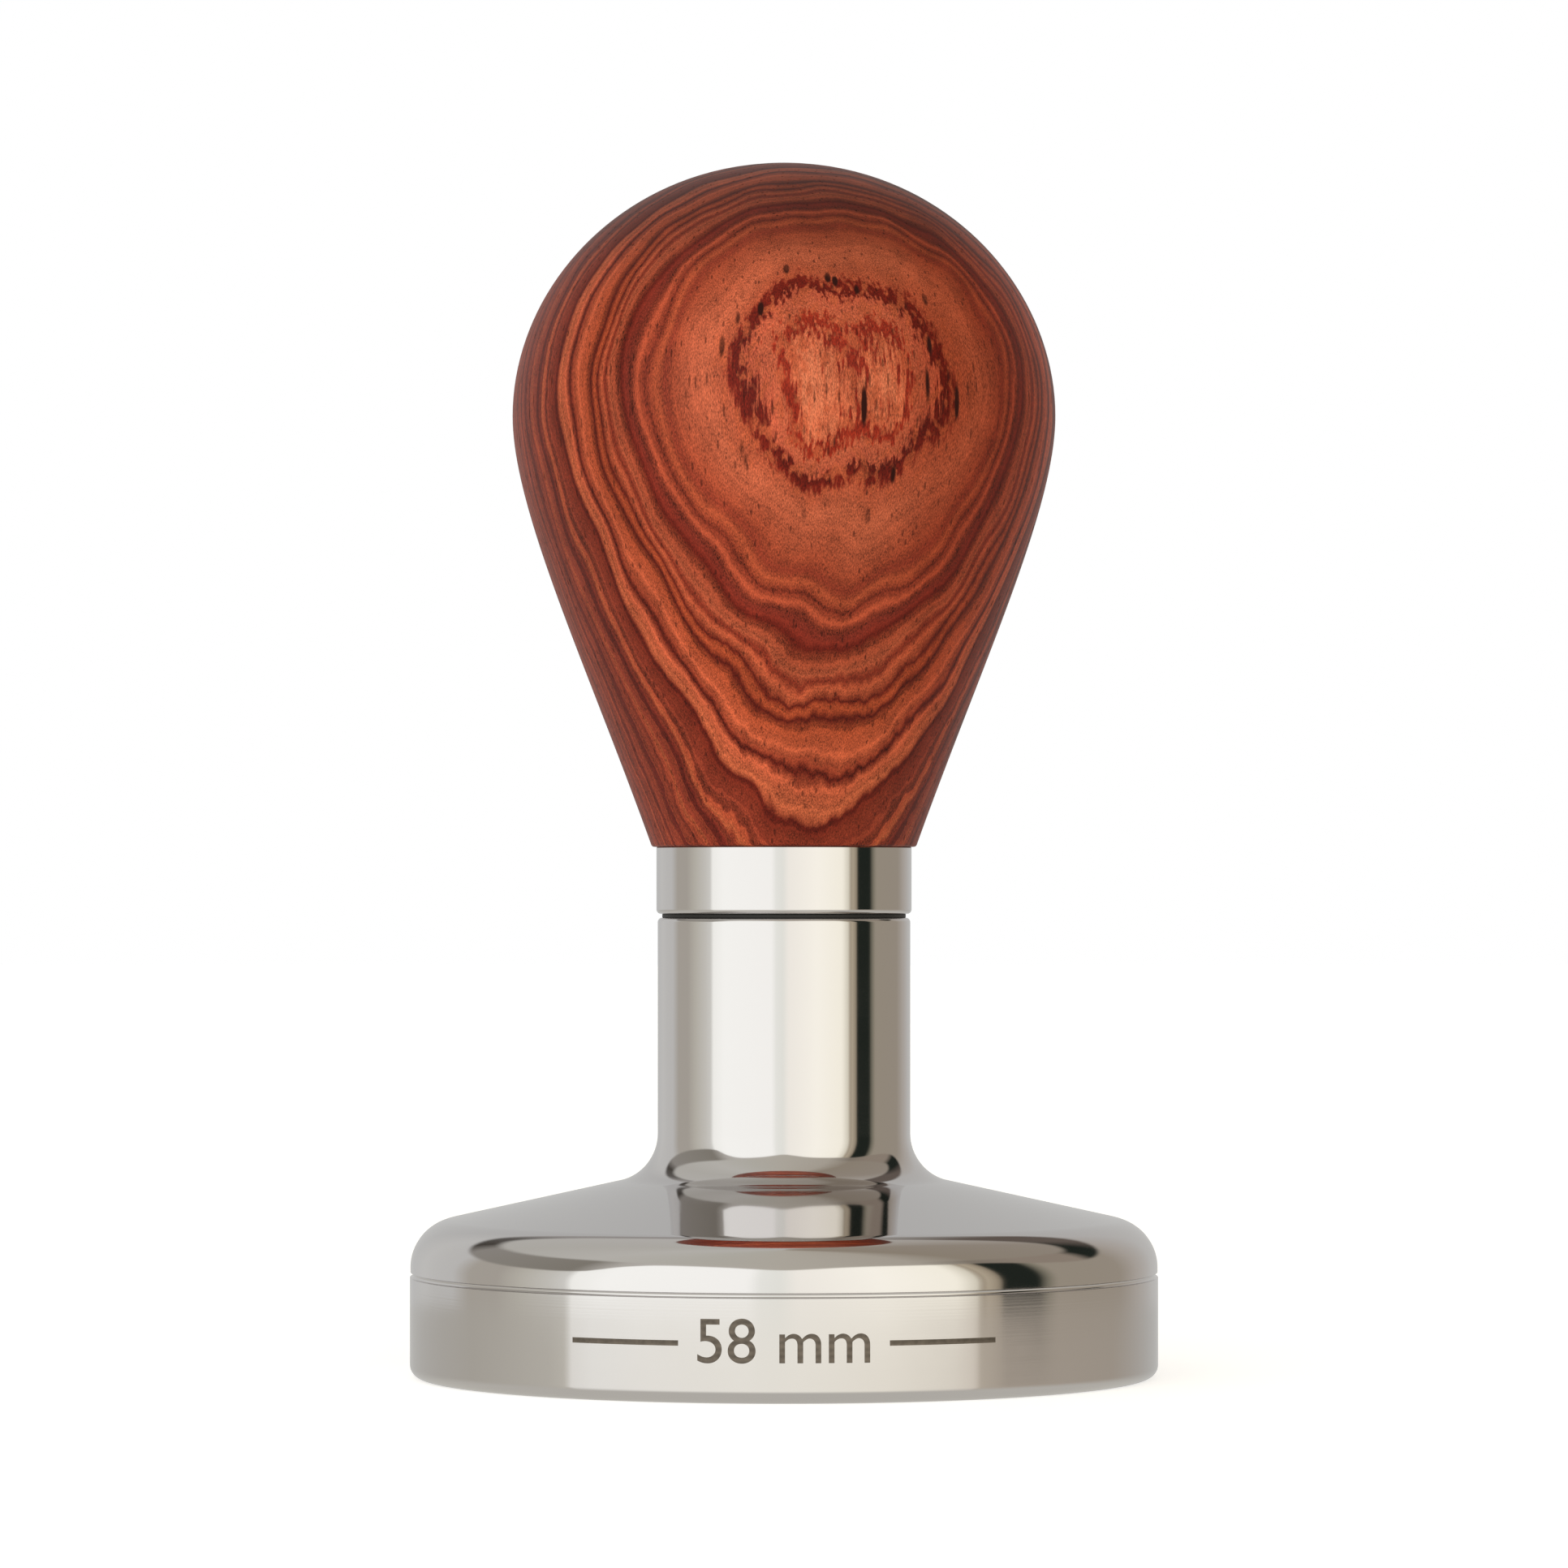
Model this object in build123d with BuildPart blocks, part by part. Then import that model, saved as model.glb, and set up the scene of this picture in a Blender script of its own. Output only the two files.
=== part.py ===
from build123d import *
import os
from math import cos, radians, sin, tan

# Espresso tamper. A turned wooden grip and its steel ferrule screw onto a stud that stands out of
# a solid steel piston. Millimetres, +Z up along the grip, origin at the centre of the tamping face.

# ---- Piston: the solid steel base that presses the coffee
piston_diameter = 58.0  # slides into a 58 mm filter basket
piston_wall_height = 7.95  # tamping face to the middle of the groove
piston_edge_radius = 1.0
groove_radius = 0.2  # half-round groove, centred on the piston's wall
shoulder_step = 0.05  # the shoulder stands this far inside the wall below the groove
shoulder_land = 0.35  # straight stretch between the groove and the shoulder's curve
shoulder_radius = 3.8
bell_slope = 12.5  # degrees above level, from the shoulder in to the neck
neck_fillet_radius = 3.8
stem_diameter = 19.6
base_height = 35.55  # tamping face to the top of the stem
stem_edge_radius = 0.35

# ---- Stud: a set screw locked into the stem
stud_diameter = 8.0
stud_length = 25.0
stud_protrusion = 11.0  # what stands above the stem, and so what the grip's thread holds
stud_chamfer = 0.7
socket_width = 4.0  # across the flats
socket_depth = 4.5

# ---- Seam washer: the thin dark ring between stem and ferrule
washer_thickness = 0.3
washer_inset = 0.35  # its rim stands in from the stem's wall

# ---- Ferrule: the steel collar below the wood
ferrule_height = 5.2
ferrule_overhang = 0.1  # beyond the stem, all round
ferrule_wall = 1.7
ferrule_web = 1.1  # floor left between the flange's recess and the tenon
ferrule_lower_edge_radius = 0.35
ferrule_upper_edge_radius = 0.12

# ---- Threaded insert: brass, driven up into the wood through the ferrule
insert_wall = 2.0  # stud to the outside of the shank
insert_shank_length = 12.7
insert_flange_lip = 1.4  # flange beyond the shank
insert_flange_thickness = 1.2
insert_drive_gap = 0.3  # hexagon's flats to the stud
insert_drive_depth = 3.0
insert_chamfer = 0.5

# ---- Grip: one turned piece of hardwood
grip_diameter = 42.1
grip_foot_overhang = 0.35  # beyond the ferrule, all round
grip_foot_edge_radius = 0.25
equator_rise = 33.35  # foot to the widest place
crown_rise = 19.6  # widest place to the top
flank_angle = 19.7  # degrees from the axis, where the flank leaves the foot
cheek_fullness = 0.518  # pulls of the outline's curves, as shares of the height or width they span
crown_fullness = 0.579
belly_fullness = 0.217
neck_fullness = 0.446

# ---- Clearances
thread_clearance = 0.06  # radial, between the stud and the insert that turns on it
seat_clearance = 0.03  # radial, between pieces that are fixed together
washer_bore_clearance = 0.5  # radial, washer to stud
flange_recess_clearance = 0.1
hole_end_clearance = 1.0  # beyond a screw's or an insert's end
countersink = 0.6
drill_half_angle = 59.0

# ---- Sizes that follow
piston_radius = piston_diameter / 2
shoulder_outer_radius = piston_radius - shoulder_step
stem_radius = stem_diameter / 2
half_turn = radians(90 - bell_slope) / 2
shoulder_corner_height = (
    piston_wall_height + groove_radius + shoulder_land + shoulder_radius * tan(half_turn)
)
bell_rise = (shoulder_outer_radius - stem_radius) * tan(radians(bell_slope))
neck_corner_height = shoulder_corner_height + bell_rise

stud_radius = stud_diameter / 2
stud_top = base_height + stud_protrusion
stud_hole_radius = stud_radius + seat_clearance
stud_hole_depth = stud_length - stud_protrusion + hole_end_clearance

ferrule_bottom = base_height + washer_thickness
ferrule_top = ferrule_bottom + ferrule_height
ferrule_radius = stem_radius + ferrule_overhang

shank_radius = stud_radius + insert_wall
flange_radius = shank_radius + insert_flange_lip
recess_depth = insert_flange_thickness + flange_recess_clearance
flange_bottom = ferrule_bottom + flange_recess_clearance
flange_top = ferrule_bottom + recess_depth
insert_top = flange_top + insert_shank_length
drive_width = 2 * (stud_radius + insert_drive_gap)

tenon_radius = ferrule_radius - ferrule_wall
tenon_bottom = flange_top + ferrule_web
grip_radius = grip_diameter / 2
foot_radius = ferrule_radius + grip_foot_overhang
equator_height = ferrule_top + equator_rise
grip_top = equator_height + crown_rise
insert_hole_radius = shank_radius + seat_clearance
insert_hole_top = insert_top + hole_end_clearance

os.makedirs("parts", exist_ok=True)


def save(piece, name):
    """Labels a finished piece and writes it as its own node."""
    piece.part.label = name
    export_step(piece.part, f"parts/{name}.step")


# ---- Tamper base: piston, bell and stem turned from one bar, with a tapped hole for the stud
with BuildPart() as tamper_base:
    with BuildSketch(Plane.XZ):
        with BuildLine():
            FilletPolyline(
                (0, 0),
                (piston_radius, 0),
                (piston_radius, piston_wall_height),
                (shoulder_outer_radius, piston_wall_height),
                (shoulder_outer_radius, shoulder_corner_height),
                (stem_radius, neck_corner_height),
                (stem_radius, base_height),
                (0, base_height),
                radius=[
                    piston_edge_radius,
                    0,
                    0,
                    shoulder_radius,
                    neck_fillet_radius,
                    stem_edge_radius,
                ],
            )
            Line((0, base_height), (0, 0))
        make_face()
    revolve(axis=Axis.Z)
    with BuildSketch(Plane.XZ):
        with Locations((piston_radius, piston_wall_height)):
            Circle(groove_radius)
    revolve(axis=Axis.Z, mode=Mode.SUBTRACT)
    with Locations((0, 0, base_height)):
        CounterSinkHole(
            radius=stud_hole_radius,
            counter_sink_radius=stud_hole_radius + countersink,
            depth=stud_hole_depth,
            counter_sink_angle=90,
        )
    drill_point = stud_hole_radius / tan(radians(drill_half_angle))
    with Locations((0, 0, base_height - stud_hole_depth)):
        Cone(
            bottom_radius=0,
            top_radius=stud_hole_radius,
            height=drill_point,
            align=(Align.CENTER, Align.CENTER, Align.MAX),
            mode=Mode.SUBTRACT,
        )
save(tamper_base, "tamper_base")

# ---- Stud: hexagon socket set screw, its thread's outside as a plain wall
with BuildPart() as stud:
    with BuildSketch(Plane.XY.offset(stud_top - stud_length)):
        Circle(stud_radius)
    extrude(amount=stud_length)
    chamfer(stud.edges().filter_by(GeomType.CIRCLE), length=stud_chamfer)
    with BuildSketch(Plane.XY.offset(stud_top)):
        RegularPolygon(radius=socket_width / 2, side_count=6, major_radius=False)
    extrude(amount=-socket_depth, mode=Mode.SUBTRACT)
save(stud, "stud")

# ---- Seam washer: lies loose round the stud and keeps the ferrule from locking on the stem
with BuildPart() as seam_washer:
    with BuildSketch(Plane.XY.offset(base_height)):
        Circle(stem_radius - washer_inset)
        Circle(stud_radius + washer_bore_clearance, mode=Mode.SUBTRACT)
    extrude(amount=washer_thickness)
save(seam_washer, "seam_washer")

# ---- Ferrule: a cup for the grip's tenon, with a recess below for the insert's flange
with BuildPart() as ferrule:
    with BuildSketch(Plane.XZ):
        with BuildLine():
            FilletPolyline(
                (insert_hole_radius, flange_top),
                (flange_radius + flange_recess_clearance, flange_top),
                (flange_radius + flange_recess_clearance, ferrule_bottom),
                (ferrule_radius, ferrule_bottom),
                (ferrule_radius, ferrule_top),
                (tenon_radius + seat_clearance, ferrule_top),
                (tenon_radius + seat_clearance, tenon_bottom),
                (insert_hole_radius, tenon_bottom),
                radius=[0, 0, ferrule_lower_edge_radius, ferrule_upper_edge_radius, 0, 0],
            )
            Line((insert_hole_radius, tenon_bottom), (insert_hole_radius, flange_top))
        make_face()
    revolve(axis=Axis.Z)
save(ferrule, "ferrule")

# ---- Threaded insert: its flange holds the ferrule against the wood
with BuildPart() as threaded_insert:
    with BuildSketch(Plane.XY.offset(flange_bottom)):
        Circle(flange_radius)
    extrude(amount=insert_flange_thickness)
    with BuildSketch(Plane.XY.offset(flange_top)):
        Circle(shank_radius)
    extrude(amount=insert_shank_length)
    shank_end = threaded_insert.edges().filter_by(GeomType.CIRCLE).group_by(Axis.Z)[-1]
    chamfer(shank_end, length=insert_chamfer)
    with Locations((0, 0, insert_top)):
        Hole(radius=stud_radius + thread_clearance)
    with BuildSketch(Plane.XY.offset(flange_bottom)):
        RegularPolygon(radius=drive_width / 2, side_count=6, major_radius=False)
    extrude(amount=insert_drive_depth, mode=Mode.SUBTRACT)
save(threaded_insert, "threaded_insert")

# ---- Grip: outline of three curves, from the foot out to the widest place and over the crown
neck_pull = neck_fullness * equator_rise
neck_handle = (
    foot_radius + neck_pull * sin(radians(flank_angle)),
    ferrule_top + neck_pull * cos(radians(flank_angle)),
)
belly_handle = (grip_radius, equator_height - belly_fullness * equator_rise)
cheek_handle = (grip_radius, equator_height + cheek_fullness * crown_rise)
crown_handle = (crown_fullness * grip_radius, grip_top)

with BuildPart() as grip:
    with BuildSketch(Plane.XZ):
        with BuildLine():
            Bezier(
                (foot_radius, ferrule_top),
                neck_handle,
                belly_handle,
                (grip_radius, equator_height),
            )
            Bezier((grip_radius, equator_height), cheek_handle, crown_handle, (0, grip_top))
            Polyline(
                (0, grip_top),
                (0, tenon_bottom),
                (tenon_radius, tenon_bottom),
                (tenon_radius, ferrule_top),
                (foot_radius, ferrule_top),
            )
        make_face()
    revolve(axis=Axis.Z)
    foot_edges = grip.edges().filter_by(GeomType.CIRCLE).filter_by_position(
        Axis.Z, ferrule_top - seat_clearance, ferrule_top + seat_clearance
    )
    fillet(foot_edges.sort_by(SortBy.RADIUS)[-1], radius=grip_foot_edge_radius)
    with BuildSketch(Plane.XY.offset(tenon_bottom)):
        Circle(insert_hole_radius)
    extrude(amount=insert_hole_top - tenon_bottom, mode=Mode.SUBTRACT)
    with Locations((0, 0, insert_hole_top)):
        Cone(
            bottom_radius=insert_hole_radius,
            top_radius=0,
            height=insert_hole_radius / tan(radians(drill_half_angle)),
            align=(Align.CENTER, Align.CENTER, Align.MIN),
            mode=Mode.SUBTRACT,
        )
save(grip, "grip")
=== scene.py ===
from math import cos, pi, radians, sin, tan

import bpy
from bpy.props import FloatProperty, FloatVectorProperty, IntProperty, PointerProperty, StringProperty
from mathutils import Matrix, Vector


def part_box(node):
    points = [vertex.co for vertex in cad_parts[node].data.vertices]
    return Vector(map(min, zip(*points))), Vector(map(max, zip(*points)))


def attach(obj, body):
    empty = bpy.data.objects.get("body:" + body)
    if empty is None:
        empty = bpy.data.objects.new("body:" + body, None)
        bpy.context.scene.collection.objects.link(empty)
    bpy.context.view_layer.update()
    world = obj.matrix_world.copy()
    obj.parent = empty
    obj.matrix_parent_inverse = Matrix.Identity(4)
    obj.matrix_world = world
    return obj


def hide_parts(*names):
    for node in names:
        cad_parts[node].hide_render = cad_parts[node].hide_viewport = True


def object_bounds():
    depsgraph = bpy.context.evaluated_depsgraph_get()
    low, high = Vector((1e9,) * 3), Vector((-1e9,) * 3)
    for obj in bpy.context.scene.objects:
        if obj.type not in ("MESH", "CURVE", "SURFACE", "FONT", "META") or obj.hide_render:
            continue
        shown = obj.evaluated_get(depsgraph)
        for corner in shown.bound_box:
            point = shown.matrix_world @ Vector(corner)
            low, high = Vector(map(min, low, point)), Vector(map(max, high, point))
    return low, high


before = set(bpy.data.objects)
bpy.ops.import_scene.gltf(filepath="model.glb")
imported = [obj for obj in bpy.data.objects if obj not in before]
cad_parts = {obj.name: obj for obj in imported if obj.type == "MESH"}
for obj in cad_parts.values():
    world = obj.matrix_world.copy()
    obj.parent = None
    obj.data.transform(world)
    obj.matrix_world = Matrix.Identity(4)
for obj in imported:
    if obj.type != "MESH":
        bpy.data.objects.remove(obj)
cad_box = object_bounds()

bl_info = {
    "name": "Espresso Tamper",
    "version": (1, 0, 0),
    "blender": (4, 5, 0),
    "location": "View3D > Sidebar > Tamper",
    "description": "Turned steel and hardwood espresso tamper with a grip that unscrews",
    "category": "Object",
}

MM = 0.001
FULL_TURN = 2 * pi
# points closer together than this are one
WELD = 0.0005 * MM
# facets round a piece that shows, and round one that is small or hidden inside
FACETS = 144
INNER_FACETS = 96
# degrees, the least that a corner turns
SHARP_CORNER = 30
# radians that a wave texture runs through in one unit of its scale
WAVE = 20
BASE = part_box("tamper_base")
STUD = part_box("stud")
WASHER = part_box("seam_washer")
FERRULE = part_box("ferrule")
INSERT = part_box("threaded_insert")
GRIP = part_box("grip")


def linear(code):
    """Turns an sRGB hex colour such as "#C8783C" into the linear RGB that the shaders use."""
    parts = [int(code[i : i + 2], 16) / 255 for i in (1, 3, 5)]
    return tuple(c / 12.92 if c <= 0.04045 else ((c + 0.055) / 1.055) ** 2.4 for c in parts)


def length(name, description, millimetres):
    """A length that the user can change, given in millimetres and kept in metres."""
    return FloatProperty(
        name=name, description=description, default=millimetres * MM, unit="LENGTH", subtype="DISTANCE"
    )


def angle(name, description, size):
    """An angle that the user can change, given in degrees and kept in radians."""
    return FloatProperty(
        name=name, description=description, default=radians(size), unit="ROTATION", subtype="ANGLE"
    )


def number(name, description, value):
    """A plain number that the user can change."""
    return FloatProperty(name=name, description=description, default=value)


def colour(name, description, code):
    """A colour that the user can change, given as sRGB hex."""
    return FloatVectorProperty(
        name=name, description=description, default=linear(code), subtype="COLOR", size=3, min=0, max=1
    )


# ---------------------------------------------------------------- sizes and colours


class BaseSizes(bpy.types.PropertyGroup):
    """The steel piston, its bell and its stem."""

    wall_height: length("Wall height", "Tamping face to the middle of the groove", 7.95)
    edge_radius: length("Edge radius", "Round between tamping face and wall", 1.0)
    groove_radius: length("Groove radius", "Half-round groove in the wall", 0.2)
    shoulder_step: length("Shoulder step", "How far the shoulder stands inside the wall", 0.05)
    shoulder_land: length("Shoulder land", "Straight stretch above the groove", 0.35)
    shoulder_radius: length("Shoulder radius", "Round between wall and bell", 3.8)
    bell_slope: angle("Bell slope", "Rise of the bell from the shoulder in to the neck", 12.5)
    neck_radius: length("Neck fillet", "Hollow round between bell and stem", 3.8)
    stem_diameter: length("Stem diameter", "Outside of the stem", 19.6)
    stem_edge_radius: length("Stem edge radius", "Round at the top of the stem", 0.35)
    hole_clearance: length("Hole clearance", "Stem's hole beyond the stud, all round", 0.03)
    hole_end: length("Hole end", "Hole's depth beyond the stud's end", 1.0)
    countersink: length("Countersink", "Width of the hole's countersink", 0.6)
    drill_angle: angle("Drill angle", "Half the angle of the drill's point", 59.0)
    mark_depth: length("Mark depth", "How far the wall stands in from the mark's surface", 0.01)


class MarkSizes(bpy.types.PropertyGroup):
    """The size marked on the wall: a plain number between two rules."""

    text: StringProperty(name="Text", description="The piston's size", default="58 mm")
    letter_height: length("Letter height", "Height of the numerals", 3.3)
    letter_share: number("Letter share", "Numerals' share of the font size", 0.7)
    height: length("Height", "Tamping face to the middle of the mark", 4.45)
    span: length("Span", "Length of the whole mark along the wall", 33.0)
    text_gap: length("Gap", "Clear space between number and rules", 1.5)
    rule_width: length("Rule width", "Thickness of the rules", 0.4)
    thickness: length("Thickness", "How deep the marked layer reaches", 0.06)
    strip: length("Strip", "Width of the flat strips that follow the round wall", 0.4)


class ThreadSizes(bpy.types.PropertyGroup):
    """M8 thread of the stud and the insert, and the insert's coarse wood thread."""

    pitch: length("Pitch", "Rise of the M8 thread in one turn", 1.25)
    ridge: length("Thread height", "Radial height of the M8 thread", 0.72)
    crest: length("Crest", "Flat at the top of the M8 thread", 0.156)
    root: length("Root", "Flat at the bottom of the M8 thread", 0.208)
    chamfer: length("Chamfer", "Chamfer at both ends of the stud", 0.7)
    socket_width: length("Socket width", "Hexagon socket, across the flats", 4.0)
    socket_depth: length("Socket depth", "Depth of the hexagon socket", 4.5)
    clearance: length("Clearance", "Radial room between stud and insert", 0.06)
    wood_pitch: length("Wood pitch", "Rise of the wood thread in one turn", 2.6)
    wood_ridge: length("Wood thread height", "Radial height of the wood thread", 0.85)
    wood_crest: length("Wood crest", "Flat at the top of the wood thread", 0.15)
    wood_root: length("Wood root", "Flat at the bottom of the wood thread", 1.45)
    steps: IntProperty(name="Steps", description="Facets in one turn of thread", default=48, min=12)


class InsertSizes(bpy.types.PropertyGroup):
    """The flanged brass insert in the grip."""

    flange_thickness: length("Flange thickness", "Thickness of the flange", 1.2)
    shank_wall: length("Shank wall", "Stud to the outside of the shank", 2.0)
    drive_gap: length("Drive gap", "Hexagon's flats to the stud", 0.3)
    drive_depth: length("Drive depth", "Depth of the hexagon drive", 3.0)
    chamfer: length("Chamfer", "Lead-in chamfers", 0.5)


class FerruleSizes(bpy.types.PropertyGroup):
    """The steel collar below the wood."""

    wall: length("Wall", "Wall round the tenon", 1.7)
    web: length("Web", "Floor between flange recess and tenon", 1.1)
    recess_clearance: length("Recess clearance", "Room round the insert's flange", 0.1)
    lower_radius: length("Lower edge radius", "Round at the seam", 0.35)
    upper_radius: length("Upper edge radius", "Round below the wood", 0.12)


class WasherSizes(bpy.types.PropertyGroup):
    """The thin nylon washer in the seam."""

    bore_clearance: length("Bore clearance", "Washer's bore beyond the stud, all round", 0.5)
    edge_radius: length("Edge radius", "Round of the punched rim", 0.05)


class GripSizes(bpy.types.PropertyGroup):
    """The turned wooden grip."""

    foot_overhang: length("Foot overhang", "Foot beyond the ferrule, all round", 0.35)
    foot_radius: length("Foot edge radius", "Round at the foot's rim", 0.25)
    equator_rise: length("Equator rise", "Foot to the widest place", 33.35)
    flank_angle: angle("Flank angle", "Lean of the flank where it leaves the foot", 19.7)
    neck_fullness: number("Neck fullness", "Pull of the flank", 0.446)
    belly_fullness: number("Belly fullness", "Pull below the equator", 0.217)
    cheek_fullness: number("Cheek fullness", "Pull above the equator", 0.518)
    crown_fullness: number("Crown fullness", "Pull of the crown", 0.579)
    fit_clearance: length("Fit clearance", "Radial room at tenon and insert", 0.03)
    hole_end: length("Hole end", "Hole's depth beyond the insert", 1.0)
    drill_angle: angle("Drill angle", "Half the angle of the drill's point", 59.0)


class Finishes(bpy.types.PropertyGroup):
    """Colours of the materials."""

    steel: colour("Polished steel", "Reflected colour of the polished stainless steel", "#D2CFCF")
    thread_steel: colour("Stud steel", "Reflected colour of the stud", "#BEBDBB")
    brass: colour("Brass", "Reflected colour of the insert", "#D9B36C")
    nylon: colour("Nylon", "Colour of the washer", "#1C1B1A")
    mark: colour("Mark", "Colour of the laser mark", "#7A7066")
    paper: colour("Paper", "Colour of the floor", "#F7F6F4")


# ---------------------------------------------------------------- shader tools


def add(tree, kind, inputs=None, stops=None, **settings):
    """Adds a shader node with its settings. A node or socket among the inputs is linked, a value is set."""
    new = tree.nodes.new("ShaderNode" + kind)
    for name, value in settings.items():
        setattr(new, name, value)
    for name, value in (inputs or {}).items():
        if isinstance(value, bpy.types.Node):
            value = value.outputs[0]
        if isinstance(value, bpy.types.NodeSocket):
            tree.links.new(value, new.inputs[name])
        else:
            new.inputs[name].default_value = value
    if stops:
        ends = new.color_ramp.elements
        ends[0].position, ends[-1].position = stops[0][0], stops[-1][0]
        ends[0].color, ends[-1].color = (*stops[0][1], 1), (*stops[-1][1], 1)
        for position, rgb in stops[1:-1]:
            ends.new(position).color = (*rgb, 1)
    return new


def empty_material(name):
    """Makes a material that holds only the coordinates of the piece it goes on."""
    material = bpy.data.materials.new(name)
    material.use_nodes = True
    tree = material.node_tree
    tree.nodes.clear()
    return material, tree, add(tree, "TexCoord").outputs["Object"]


def finish_material(material, surface):
    """Ends a material in a shader with the given surface."""
    shader = add(material.node_tree, "BsdfPrincipled", surface)
    add(material.node_tree, "OutputMaterial", {"Surface": shader})
    return material


def darker(tone, share):
    """A colour at a share of its brightness."""
    return [share * c for c in tone]


# ---------------------------------------------------------------- modelling tools


def deselect():
    """Leaves edit mode and selects nothing."""
    if bpy.context.object and bpy.context.object.mode != "OBJECT":
        bpy.ops.object.mode_set(mode="OBJECT")
    bpy.ops.object.select_all(action="DESELECT")


def choose(piece):
    """Selects one object and makes it the active one."""
    deselect()
    piece.select_set(True)
    bpy.context.view_layer.objects.active = piece


def apply_modifier(piece, kind, **settings):
    """Adds a modifier with its settings and applies it."""
    choose(piece)
    modifier = piece.modifiers.new(kind.title(), kind)
    for name, value in settings.items():
        setattr(modifier, name, value)
    bpy.ops.object.modifier_apply(modifier=modifier.name)


def arc_pull(radius, turn):
    """How far a Bezier handle reaches so that the curve follows an arc of that radius and turn."""
    return radius * tan(turn / 4) * 4 / 3


def rounded(corners):
    """Turns (radius, height, fillet) corners into knots, with an arc where a corner has a fillet.

    A knot is a point, the handle before it and the handle after it. A missing handle is a straight run.
    """
    places = [Vector((r, 0, z)) for r, z, _ in corners]
    knots = []
    for i, (_, _, fillet) in enumerate(corners):
        here = places[i]
        if not fillet:
            knots.append((here, None, None))
            continue
        before = (places[i - 1] - here).normalized()
        after = (places[(i + 1) % len(places)] - here).normalized()
        turn = pi - before.angle(after)
        reach = fillet * tan(turn / 2)
        pull = arc_pull(fillet, turn)
        start, end = here + before * reach, here + after * reach
        knots.append((start, None, start - before * pull))
        knots.append((end, end - after * pull, None))
    return knots


def draw_outline(name, knots, closed=False, smoothness=16):
    """Draws knots as a Bezier outline and makes it a line of edges."""
    deselect()
    bpy.ops.curve.primitive_bezier_curve_add(location=(0, 0, 0))
    piece = bpy.context.object
    piece.name = piece.data.name = name
    piece.data.dimensions = "3D"
    spline = piece.data.splines[0]
    spline.bezier_points.add(len(knots) - len(spline.bezier_points))
    spline.resolution_u = smoothness
    spline.use_cyclic_u = closed
    for point, (place, before, after) in zip(spline.bezier_points, knots):
        point.handle_left_type = "FREE" if before else "VECTOR"
        point.handle_right_type = "FREE" if after else "VECTOR"
        point.co = place
        if before:
            point.handle_left = before
        if after:
            point.handle_right = after
    bpy.ops.object.convert(target="MESH")
    return piece


def turn_on_lathe(name, knots, closed=False, facets=FACETS, smoothness=16):
    """Spins half a section about Z and closes it into a solid."""
    piece = draw_outline(name, knots, closed, smoothness)
    bpy.ops.object.mode_set(mode="EDIT")
    bpy.ops.mesh.select_all(action="SELECT")
    bpy.ops.mesh.spin(steps=facets, angle=FULL_TURN, center=(0, 0, 0), axis=(0, 0, 1))
    close_up(piece)
    return piece


def close_up(piece):
    """Merges the seam and the poles, and turns every face outwards."""
    choose(piece)
    bpy.ops.object.mode_set(mode="EDIT")
    bpy.ops.mesh.select_all(action="SELECT")
    bpy.ops.mesh.remove_doubles(threshold=WELD)
    bpy.ops.mesh.normals_make_consistent(inside=False)
    bpy.ops.object.mode_set(mode="OBJECT")


def smooth(piece, weighted=True):
    """Shades the rounds smooth and the corners sharp, and keeps flats flat beside a round."""
    choose(piece)
    bpy.ops.object.shade_smooth_by_angle(angle=radians(SHARP_CORNER))
    if weighted:
        apply_modifier(piece, "WEIGHTED_NORMAL", mode="FACE_AREA", weight=100, keep_sharp=True)


def cut_off(piece, height, keep_above):
    """Bisects a piece at a height, throws one side away and caps the cut.

    The operator's own threshold, a tenth of a millimetre, is too coarse for a thread and leaves gaps.
    """
    choose(piece)
    bpy.ops.object.mode_set(mode="EDIT")
    bpy.ops.mesh.select_all(action="SELECT")
    bpy.ops.mesh.bisect(
        plane_co=(0, 0, height),
        plane_no=(0, 0, 1),
        threshold=WELD / 5,
        use_fill=True,
        clear_inner=keep_above,
        clear_outer=not keep_above,
    )
    bpy.ops.object.mode_set(mode="OBJECT")


def threaded_rod(name, outer, form, bottom, top, facets):
    """Screws one ridge of thread up round the Z axis, cuts it level at both ends and caps it.

    The thread's form is its height, pitch, crest and root. Every thread starts from the same place, a whole
    number of turns below zero, so that threads of one pitch stay in step.
    """
    ridge, pitch, crest, root = form
    core, flank = outer - ridge, (pitch - crest - root) / 2
    start = (bottom // pitch - 2) * pitch
    turns = int((top - start) / pitch) + 3
    rise = root + flank
    ridge_line = [(core, 0), (core, root), (outer, rise), (outer, rise + crest), (core, pitch)]
    piece = draw_outline(name, [(Vector((r, 0, start + z)), None, None) for r, z in ridge_line])
    apply_modifier(
        piece,
        "SCREW",
        steps=facets,
        render_steps=facets,
        screw_offset=pitch,
        iterations=turns,
        use_merge_vertices=True,
        merge_threshold=WELD,
    )
    close_up(piece)
    cut_off(piece, bottom, keep_above=True)
    cut_off(piece, top, keep_above=False)
    close_up(piece)
    return piece


def combine(piece, other, operation):
    """Joins, cuts or intersects a piece with another solid, which is then thrown away."""
    apply_modifier(piece, "BOOLEAN", operation=operation, solver="EXACT", object=other)
    bpy.data.objects.remove(other)
    close_up(piece)


def hexagon(name, across_flats, bottom, top):
    """Makes a six-sided cutter between two heights."""
    deselect()
    bpy.ops.mesh.primitive_cylinder_add(
        vertices=6,
        radius=across_flats / 2 / cos(radians(30)),
        depth=top - bottom,
        location=(0, 0, (top + bottom) / 2),
    )
    cutter = bpy.context.object
    cutter.name = name
    bpy.ops.object.transform_apply(location=True, rotation=True, scale=True)
    return cutter


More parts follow.
